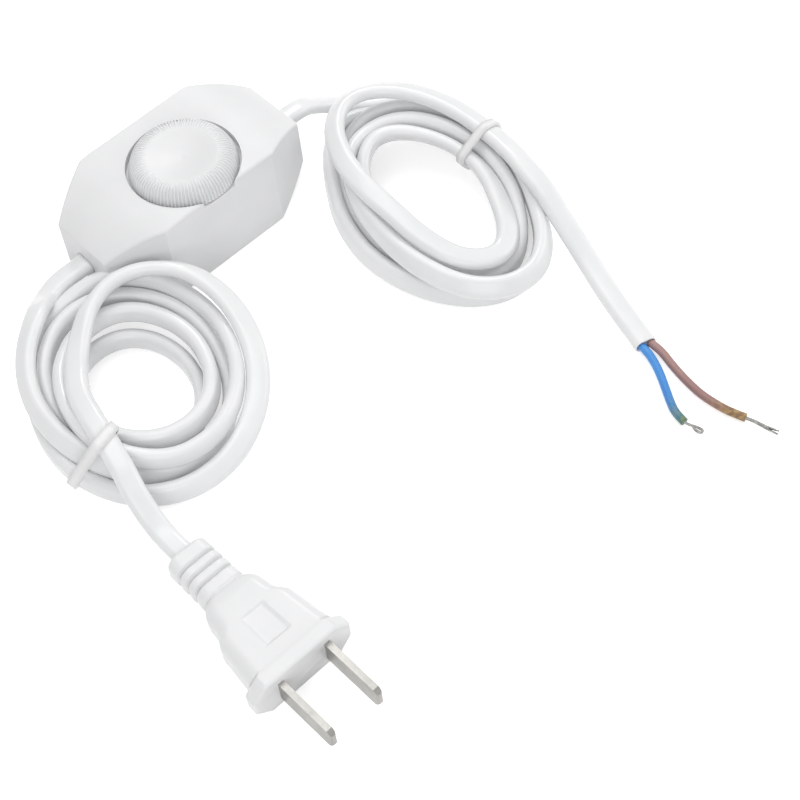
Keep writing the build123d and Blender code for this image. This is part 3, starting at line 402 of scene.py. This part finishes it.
# Each slot's material: its two tones and its least and most roughness
MATERIALS = {
    "housing": make_material(
        "housing_white", (0.80, 0.805, 0.81), (0.83, 0.835, 0.84), (0.42, 0.50),
        bump_scale=3200, bump=0.04),
    "knob": make_material(
        "knob_white", (0.79, 0.795, 0.80), (0.815, 0.82, 0.825), (0.38, 0.46),
        bump_scale=3200, bump=0.03),
    "cord_jacket": make_material(
        "cord_white", (0.83, 0.84, 0.845), (0.87, 0.875, 0.88), (0.20, 0.26),
        bump_scale=1200, bump=0.015),
    "plug_plastic": make_material(
        "plug_white", (0.82, 0.825, 0.83), (0.85, 0.855, 0.86), (0.30, 0.38),
        bump_scale=1400, bump=0.035),
    "tie_plastic": make_material(
        "tie_white", (0.86, 0.855, 0.855), (0.90, 0.895, 0.895), (0.34, 0.46),
        bump_scale=2200, bump=0.12),
    "blade_metal": make_material(
        "blade_nickel", (0.30, 0.295, 0.28), (0.38, 0.37, 0.35), (0.30, 0.42),
        metallic=1.0, tone_scale=200, bump_scale=2500, bump=0.15),
    "blue_insulation": make_material(
        "blue_pvc", (0.045, 0.24, 0.66), (0.07, 0.31, 0.76), (0.28, 0.40),
        bump_scale=900, bump=0.10),
    "brown_insulation": make_material(
        "brown_pvc", (0.33, 0.185, 0.17), (0.42, 0.25, 0.23), (0.28, 0.40),
        bump_scale=900, bump=0.10),
    "tinned_copper": make_material(
        "tinned_strands", (0.20, 0.197, 0.19), (0.36, 0.355, 0.34), (0.34, 0.48),
        metallic=1.0, tone_scale=700, bump_scale=3000, bump=0.2),
    "steel_screw": make_material(
        "zinc_steel", (0.50, 0.51, 0.54), (0.66, 0.67, 0.70), (0.25, 0.40),
        metallic=1.0, tone_scale=300, bump_scale=3000, bump=0.15),
    "board_laminate": make_material(
        "board_brown", (0.36, 0.24, 0.09), (0.46, 0.32, 0.13), (0.45, 0.6),
        tone_scale=250, bump_scale=1800, bump=0.25, stretch=(1, 4, 1)),
    "component_plastic": make_material(
        "component_dark", (0.018, 0.020, 0.024), (0.035, 0.038, 0.043), (0.35, 0.5),
        tone_scale=300, bump_scale=2500, bump=0.2),
    "capacitor_case": make_material(
        "capacitor_red", (0.42, 0.045, 0.025), (0.52, 0.07, 0.04), (0.3, 0.42),
        tone_scale=200, bump_scale=2000, bump=0.12),
    "pot_metal": make_material(
        "can_steel", (0.50, 0.50, 0.51), (0.64, 0.64, 0.65), (0.28, 0.42),
        metallic=1.0, tone_scale=250, bump_scale=2800, bump=0.15),
    "pot_plastic": make_material(
        "nylon_cream", (0.62, 0.58, 0.45), (0.72, 0.68, 0.55), (0.4, 0.52),
        tone_scale=200, bump_scale=2000, bump=0.15),
    "aluminium_plate": make_material(
        "aluminium", (0.60, 0.61, 0.62), (0.74, 0.75, 0.76), (0.28, 0.42),
        metallic=1.0, tone_scale=300, bump_scale=1500, bump=0.15, stretch=(1, 1, 12)),
    "ferrite": make_material(
        "ferrite_grey", (0.03, 0.03, 0.032), (0.06, 0.06, 0.063), (0.5, 0.68),
        tone_scale=500, bump_scale=3500, bump=0.4),
    "copper_winding": make_material(
        "enamelled_copper", (0.42, 0.13, 0.05), (0.60, 0.22, 0.09), (0.22, 0.34),
        metallic=1.0, tone_scale=400, bump_scale=1500, bump=0.15),
}
for slot, tint in END_TINTS.items():
    add_end_tint(MATERIALS[slot], *tint)


def dress(obj, slot):
    """Gives an object a slot's material."""
    obj.data.materials.clear()
    obj.data.materials.append(MATERIALS[slot])


def stand_in(piece, slot, nodes, body="body"):
    """Dresses a new piece, puts it in the place of CAD nodes and lets it ride on a body."""
    dress(piece, slot)
    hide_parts(*nodes)
    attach(piece, body)


for node, slot in NODE_SLOTS.items():
    dress(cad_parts[node], slot)


# Lines and meshes
def halfway(values):
    """The values and one more between each two, on a smooth line through them."""
    rows = np.array(values, float)
    longer = np.vstack([2 * rows[0] - rows[1], rows, 2 * rows[-1] - rows[-2]])
    middle = (9 * (longer[1:-2] + longer[2:-1]) - longer[:-3] - longer[3:]) / 16
    result = np.empty((2 * len(rows) - 1, rows.shape[1]))
    result[0::2] = rows
    result[1::2] = middle
    return result


def coil_points(centre, stretch, first, step, turns):
    """Control points of a coil, 16 for each turn: x, y, z and roll."""
    rows = halfway(turns)
    # The spline runs inside its control points by this share
    pull = 0.75 + 0.25 * math.cos(math.radians(step / 2))
    angles = np.radians(first + step / 2 * np.arange(len(rows)))
    x = centre[0] + rows[:, 0] / pull * np.cos(angles)
    y = centre[1] + rows[:, 0] / pull * np.sin(angles) * stretch
    return np.column_stack([x, y, rows[:, 1], rows[:, 2]])


def spline_points(name, points):
    """Points of a smooth curve of one open NURBS spline, in metres."""
    curve = bpy.data.curves.new(name, "CURVE")
    curve.dimensions = "3D"
    curve.resolution_u = SPLINE_STEPS
    spline = curve.splines.new("NURBS")
    spline.points.add(len(points) - 1)
    for control, p in zip(spline.points, points):
        control.co = (p[0] / 1000, p[1] / 1000, p[2] / 1000, 1)
    spline.order_u = 3
    spline.use_endpoint_u = True
    carrier = bpy.data.objects.new(name, curve)
    mesh = bpy.data.meshes.new_from_object(carrier)
    line = np.array([v.co for v in mesh.vertices])
    bpy.data.objects.remove(carrier)
    bpy.data.meshes.remove(mesh)
    bpy.data.curves.remove(curve)
    return line


def travelled(line):
    """Distance along a line from its start to each of its points."""
    return np.concatenate([[0], np.cumsum(np.linalg.norm(np.diff(line, axis=0), axis=1))])


def directions(line):
    """Direction of the line at each of its points."""
    ahead = np.gradient(line, axis=0)
    return ahead / np.linalg.norm(ahead, axis=1)[:, None]


def roll_along(points, count):
    """Roll of the cord at each of the spline's points, in radians."""
    rolls = np.array([p[3] for p in points], float)
    # Each inner control point is nearest half a step before its number
    places = np.arange(len(points)) - 0.5
    places[0] = 0
    places[-1] = len(points) - 2
    return np.radians(np.interp(np.linspace(0, len(points) - 2, count), places, rolls))


def cord_frames(line, rolls, turn):
    """Width and thickness directions of a flat cord at each point."""
    ahead = directions(line)
    side = np.cross((0, 0, 1), ahead) * turn
    side /= np.linalg.norm(side, axis=1)[:, None]
    up = np.cross(ahead, side)
    up *= np.sign(up[:, 2])[:, None]
    wide = np.cos(rolls)[:, None] * up + np.sin(rolls)[:, None] * side
    thin = np.cross(ahead, wide)
    return wide, thin


def parallel_frames(line):
    """Two directions across a line that turn as little as they can."""
    ahead = directions(line)
    normal = np.cross(ahead[0], (0, 0, 1))
    normal /= np.linalg.norm(normal)
    normals = []
    for direction in ahead:
        normal = normal - direction * (normal @ direction)
        normal = normal / np.linalg.norm(normal)
        normals.append(normal)
    normals = np.array(normals)
    return normals, np.cross(ahead, normals)


def link(name, data):
    """A new object of a mesh, lamp or camera, in the scene."""
    obj = bpy.data.objects.new(name, data)
    bpy.context.scene.collection.objects.link(obj)
    return obj


def ring_faces(rings):
    """Quads that join each ring of points to the next."""
    count = len(rings[0])
    faces = []
    for r in range(len(rings) - 1):
        for k in range(count):
            a = r * count + k
            b = r * count + (k + 1) % count
            faces.append((a, b, b + count, a + count))
    return faces


def tube_mesh(name, rings):
    """A mesh of quads through rings of points, closed at both ends."""
    count = len(rings[0])
    last = (len(rings) - 1) * count
    vertices = [tuple(p) for ring in rings for p in ring]
    faces = ring_faces(rings)
    faces.append(tuple(reversed(range(count))))
    faces.append(tuple(range(last, last + count)))
    mesh = bpy.data.meshes.new(name)
    mesh.from_pydata(vertices, [], faces)
    mesh.validate()
    work = bmesh.new()
    work.from_mesh(mesh)
    bmesh.ops.recalc_face_normals(work, faces=work.faces)
    work.to_mesh(mesh)
    work.free()
    mesh.shade_smooth()
    return mesh


def round_tube(name, line, radius, sides=16, turn_rate=0.0, offset=0.0, phase=0.0):
    """A round tube along a line, or one twisted round it at an offset."""
    side, up = parallel_frames(line)
    twist = phase + turn_rate * travelled(line)
    shift = np.cos(twist)[:, None] * side + np.sin(twist)[:, None] * up
    centre = line + offset / 1000 * shift
    angles = 2 * np.pi * np.arange(sides) / sides
    rings = []
    for place, s, u in zip(centre, side, up):
        circle = np.cos(angles)[:, None] * s + np.sin(angles)[:, None] * u
        rings.append(place + radius / 1000 * circle)
    return tube_mesh(name, rings)


# Flat cords
def flat_section(width, thickness):
    """Outline of a flat cord: two half circles joined by straight sides."""
    radius = thickness / 2
    half = width / 2 - radius
    angles = 2 * np.pi * (np.arange(CORD_SIDES) + 0.5) / CORD_SIDES
    x = radius * np.cos(angles) + half * np.sign(np.cos(angles))
    return np.column_stack([x, radius * np.sin(angles)])


def flat_cord(name, points, turn, cut=False):
    """A flat cord along its route, and the line that it follows."""
    line = spline_points(name + "_route", points)
    wide, thin = cord_frames(line, roll_along(points, len(line)), turn)
    rings = []
    for place, w, t, run in zip(line, wide, thin, travelled(line) * 1000):
        swell = 2 * ROOT_SWELL * math.exp(-((run / ROOT_LENGTH) ** 2))
        outline = flat_section(CORD_WIDTH + swell, CORD_THICKNESS + swell) / 1000
        rings.append(place + outline[:, :1] * w + outline[:, 1:] * t)
    if cut:
        ahead = directions(line)[-1]
        end = rings[-1]
        rings[-1] = end - ahead * CUT_ROUNDING / 1000
        for share, depth in CUT_ROWS:
            rings.append(line[-1] + (end - line[-1]) * share - ahead * depth / 1000)
    return link(name, tube_mesh(name, rings)), line


line_route = np.vstack([
    LINE_START,
    coil_points(LINE_CENTRE, LINE_STRETCH, LINE_FIRST, LINE_STEP, LINE_TURNS),
    LINE_END,
])
load_route = np.vstack([
    LOAD_START,
    coil_points(LOAD_CENTRE, LOAD_STRETCH, LOAD_FIRST, LOAD_STEP, LOAD_TURNS),
    LOAD_END,
])
line_cord, line_path = flat_cord("plug_side_cord", line_route, 1)
load_cord, load_path = flat_cord("lamp_side_cord", load_route, -1, cut=True)
stand_in(line_cord, "cord_jacket", ["line_cord", "line_cord_coil", "line_cord_end"])
stand_in(load_cord, "cord_jacket", ["load_cord", "load_cord_coil", "load_cord_end"])


# Ties
def tie_band(name, cord, inner, outer, lean, span, lowest, width):
    """A band round the strands of a cord between the span's ends and above the lowest height."""
    origin = Vector((inner[0] / 1000, inner[1] / 1000, 0))
    out = (Vector((outer[0] / 1000, outer[1] / 1000, 0)) - origin).normalized()
    lean = math.radians(lean)
    upward = Vector((-out.y, out.x, 0)) * math.sin(lean) + Vector((0, 0, 1)) * math.cos(lean)
    across = upward.cross(out)
    half = width / 2 / 1000
    gap = TIE_GAP / 1000
    points = np.array([v.co for v in cord.data.vertices]) - np.array(origin)
    outward = points @ np.array(out)
    keep = (np.abs(points @ np.array(across)) < half) & (points[:, 2] > lowest / 1000)
    keep &= (outward > span[0] / 1000) & (outward < span[1] / 1000)
    flat = np.column_stack([outward[keep], points[keep] @ np.array(upward)])
    # Outline round the strands: how far they reach in each direction, and how that changes
    angles = np.radians(np.arange(0, 360, TIE_STEP))
    normals = np.column_stack([np.cos(angles), np.sin(angles)])
    along = np.column_stack([-normals[:, 1], normals[:, 0]])
    reach = (flat @ normals.T).max(axis=0)
    slope = (np.roll(reach, -1) - np.roll(reach, 1)) / (2 * math.radians(TIE_STEP))
    loop = normals * reach[:, None] + along * slope[:, None]
    rings = []
    for share, lift in TIE_PROFILE:
        ring = loop + normals * (gap + TIE_THICKNESS / 1000 * lift)
        places = [origin + out * p[0] + across * (share * half) + upward * p[1] for p in ring]
        for place in places:
            place.z = max(place.z, gap)
        rings.append(places)
    mesh = bpy.data.meshes.new(name)
    mesh.from_pydata([tuple(p) for ring in rings for p in ring], [], ring_faces(rings))
    mesh.shade_smooth()
    return link(name, mesh)


line_tie = tie_band("plug_side_tie", line_cord, **LINE_TIE)
load_tie = tie_band("lamp_side_tie", load_cord, **LOAD_TIE)
stand_in(line_tie, "tie_plastic", ["line_cord_tie"])
stand_in(load_tie, "tie_plastic", ["load_cord_tie"])


# Plug
def rounded_section(width, height, corner, bevel):
    """Outline of a rectangle with round or bevelled corners, with even points on its sides."""
    x, z = width / 2 - corner, height / 2 - corner
    tall, wide = PLUG_SIDES
    sides = (
        ((x, -z), (x, z), 0, tall),
        ((x, z), (-x, z), 90, wide),
        ((-x, z), (-x, -z), 180, tall),
        ((-x, -z), (x, -z), 270, wide),
    )
    points = []
    for start, end, angle, count in sides:
        out = (math.cos(math.radians(angle)), math.sin(math.radians(angle)))
        for k in range(count):
            share = k / (count - 1)
            points.append([start[i] + (end[i] - start[i]) * share + corner * out[i] for i in range(2)])
        for k in range(1, PLUG_CORNER):
            turn = math.radians(angle + 90 * k / PLUG_CORNER)
            reach = corner
            if bevel:
                reach = corner / (abs(math.cos(turn)) + abs(math.sin(turn)))
            points.append([end[0] + reach * math.cos(turn), end[1] + reach * math.sin(turn)])
    return np.array(points)


def make_plug():
    """The moulded plug with its ribbed strain relief, shoulders, panel and flange."""
    form = np.array(PLUG_FORM)
    places = np.arange(form[0, 0], form[-1, 0], -PLUG_STEP)
    places = np.append(places, form[-1, 0])
    low, high = PANEL_ENDS
    rings = []
    for y in places:
        width, height, corner = (np.interp(-y, -form[:, 0], form[:, k]) for k in (1, 2, 3))
        cut = sum(d * math.exp(-(((y - g) / PLUG_GROOVE_WIDTH) ** 2)) for g, d in PLUG_GROOVES)
        section = rounded_section(width - 2 * cut, height - 2 * cut, corner, y < PLUG_FLANGE)
        along = np.clip(min(y - low, high - y) / PANEL_EDGE, 0, 1)
        across = np.clip((PANEL_HALF - np.abs(section[:, 0])) / PANEL_EDGE, 0, 1)
        section[:, 1] -= PANEL_DEPTH * along * across * (section[:, 1] > 0)
        rings.append([((PLUG_X + p[0]) / 1000, y / 1000, (PLUG_Z + p[1]) / 1000) for p in section])
    return link("plug_moulding", tube_mesh("plug_moulding", rings))


plug = make_plug()
stand_in(plug, "plug_plastic", ["plug_body"])


# Knob
def make_knob():
    """The knob's dished cap and ribbed flank, turned round the joint's line."""
    profile = np.vstack([halfway(halfway(halfway(KNOB_FORM))), KNOB_FOOT])
    run = travelled(profile)
    fine = np.linspace(0, run[-1], KNOB_RINGS)
    radius = np.interp(fine, run, profile[:, 0])
    height = np.interp(fine, run, profile[:, 1])
    rise = np.gradient(height, fine)
    spread = np.gradient(radius, fine)
    count = RIB_COUNT * RIB_POINTS
    angles = np.arange(count) * 2 * math.pi / count
    groove = (0.5 + 0.5 * np.cos(angles * RIB_COUNT)) ** 2
    rings = []
    for r, z, dz, dr in zip(radius[1:], height[1:], rise[1:], spread[1:]):
        deep = RIB_DEPTH * np.clip((r - RIB_START) / RIB_RISE, 0, 1) * (z > RIB_END)
        dimple = KNOB_DIMPLE * math.exp(-((r / KNOB_DIMPLE_RADIUS) ** 2))
        around = r + groove * deep * dz
        x = KNOB_CENTRE[0] + around * np.cos(angles)
        y = KNOB_CENTRE[1] + around * np.sin(angles)
        up = z - groove * deep * dr - dimple
        rings.append(np.column_stack([x, y, up]) / 1000)
    return link("knob_cap", tube_mesh("knob_cap", rings))


knob = make_knob()
stand_in(knob, "knob", ["knob"], body="knob")


# Cores and their bare strands
def make_core(name, route):
    """A core's insulation along its route."""
    line = spline_points(name + "_route", route)
    return link(name, round_tube(name, line, CORE_RADIUS))


def strands(name, core_route, back, tip, count, radius, spread):
    """Thin tinned wires twisted together from inside a core to a tip, opening a little."""
    x, y, z = core_route[-1]
    route = [(x + back[0], y + back[1], z), (x, y, z), *tip]
    line = spline_points(name + "_route", route)
    run = travelled(line)
    open_out = spread[0] + (spread[1] - spread[0]) * (run / run[-1])[:, None] ** 2
    work = bmesh.new()
    for k in range(count):
        phase = 2 * math.pi * k / count
        # The strands end at slightly different places
        stop = len(line) - (k * 5 % 4) * 2
        part = round_tube(
            name, line[:stop], radius, STRAND_SIDES, STRAND_TWIST, open_out[:stop], phase)
        work.from_mesh(part)
        bpy.data.meshes.remove(part)
    mesh = bpy.data.meshes.new(name)
    work.to_mesh(mesh)
    work.free()
    return link(name, mesh)


blue_core = make_core("blue_core_tube", BLUE_ROUTE)
brown_core = make_core("brown_core_tube", BROWN_ROUTE)
stand_in(blue_core, "blue_insulation", ["blue_core"])
stand_in(brown_core, "brown_insulation", ["brown_core"])
brown_wires = strands("brown_strands", BROWN_ROUTE, BROWN_BACK, BROWN_TIP, *BROWN_STRANDS)
blue_wires = strands("blue_strands", BLUE_ROUTE, BLUE_BACK, BLUE_TIP, *BLUE_STRANDS)
stand_in(brown_wires, "tinned_copper", ["brown_bare_wires"])
stand_in(blue_wires, "tinned_copper", ["blue_bare_wires"])


# Floor, lights and camera
def show_to_rays(tree, plain, seen, output):
    """Shows one shader to camera, glossy and transmission rays, and the plain one to the rest."""
    path = tree.nodes.new("ShaderNodeLightPath")
    factor = path.outputs["Is Camera Ray"]
    for ray in ("Is Glossy Ray", "Is Transmission Ray"):
        either = tree.nodes.new("ShaderNodeMath")
        either.operation = "MAXIMUM"
        tree.links.new(factor, either.inputs[0])
        tree.links.new(path.outputs[ray], either.inputs[1])
        factor = either.outputs[0]
    mix = tree.nodes.new("ShaderNodeMixShader")
    tree.links.new(factor, mix.inputs["Fac"])
    tree.links.new(plain, mix.inputs[1])
    tree.links.new(seen, mix.inputs[2])
    tree.links.new(mix.outputs["Shader"], tree.nodes[output].inputs["Surface"])


def make_floor():
    """A pale floor that looks white and keeps the object's shadow."""
    mat = bpy.data.materials.new("floor_pale")
    mat.use_nodes = True
    tree, shader = nodes_of(mat)
    shader.inputs["Base Color"].default_value = FLOOR_COLOUR
    shader.inputs["Roughness"].default_value = FLOOR_ROUGHNESS
    shader.inputs["Specular IOR Level"].default_value = 0.0
    glow = tree.nodes.new("ShaderNodeEmission")
    glow.inputs["Strength"].default_value = FLOOR_GLOW
    both = tree.nodes.new("ShaderNodeAddShader")
    tree.links.new(shader.outputs["BSDF"], both.inputs[0])
    tree.links.new(glow.outputs["Emission"], both.inputs[1])
    show_to_rays(tree, shader.outputs["BSDF"], both.outputs["Shader"], "Material Output")
    half = FLOOR_HALF
    corners = [(-half, -half, 0), (half, -half, 0), (half, half, 0), (-half, half, 0)]
    mesh = bpy.data.meshes.new("floor")
    mesh.from_pydata(corners, [], [(0, 1, 2, 3)])
    mesh.materials.append(mat)
    return link("floor", mesh)


def make_world():
    """A world that lights the object softly and looks white."""
    world = bpy.data.worlds.new("studio")
    world.use_nodes = True
    tree = world.node_tree
    light = tree.nodes["Background"]
    white = tree.nodes.new("ShaderNodeBackground")
    for node, strength in ((light, WORLD_LIGHT), (white, 1.0)):
        node.inputs["Color"].default_value = WHITE
        node.inputs["Strength"].default_value = strength
    show_to_rays(tree, light.outputs["Background"], white.outputs["Background"], "World Output")
    return world


def add_lamp(name, place, size, power):
    """A square soft lamp that looks at the object."""
    data = bpy.data.lights.new(name, "AREA")
    data.shape = "SQUARE"
    data.size = size
    data.energy = power
    lamp = link(name, data)
    lamp.location = place
    lamp.rotation_euler = (Vector(LAMP_AIM) - Vector(place)).to_track_quat("-Z", "Y").to_euler()


def make_camera():
    """A camera at the photograph's viewing angle."""
    azimuth, pitch, roll = (math.radians(v) for v in (CAMERA_AZIMUTH, CAMERA_PITCH, CAMERA_ROLL))
    east, north = math.sin(azimuth), math.cos(azimuth)
    down, flat = math.sin(pitch), math.cos(pitch)
    ahead = Vector((east * flat, north * flat, -down))
    level = Vector((north, -east, 0))
    upward = Vector((east * down, north * down, flat))
    right = level * math.cos(roll) + upward * math.sin(roll)
    up = upward * math.cos(roll) - level * math.sin(roll)
    data = bpy.data.cameras.new("camera")
    data.lens = CAMERA_LENS
    data.sensor_width = CAMERA_SENSOR
    camera = link("camera", data)
    camera.matrix_world = Matrix((
        (right.x, up.x, -ahead.x, CAMERA_PLACE[0]),
        (right.y, up.y, -ahead.y, CAMERA_PLACE[1]),
        (right.z, up.z, -ahead.z, CAMERA_PLACE[2]),
        (0, 0, 0, 1),
    ))
    return camera


floor = make_floor()
bpy.context.scene.world = make_world()
for name, lamp in LAMPS.items():
    add_lamp(name, *lamp)
bpy.context.scene.camera = make_camera()
bpy.context.scene.view_settings.view_transform = "Standard"
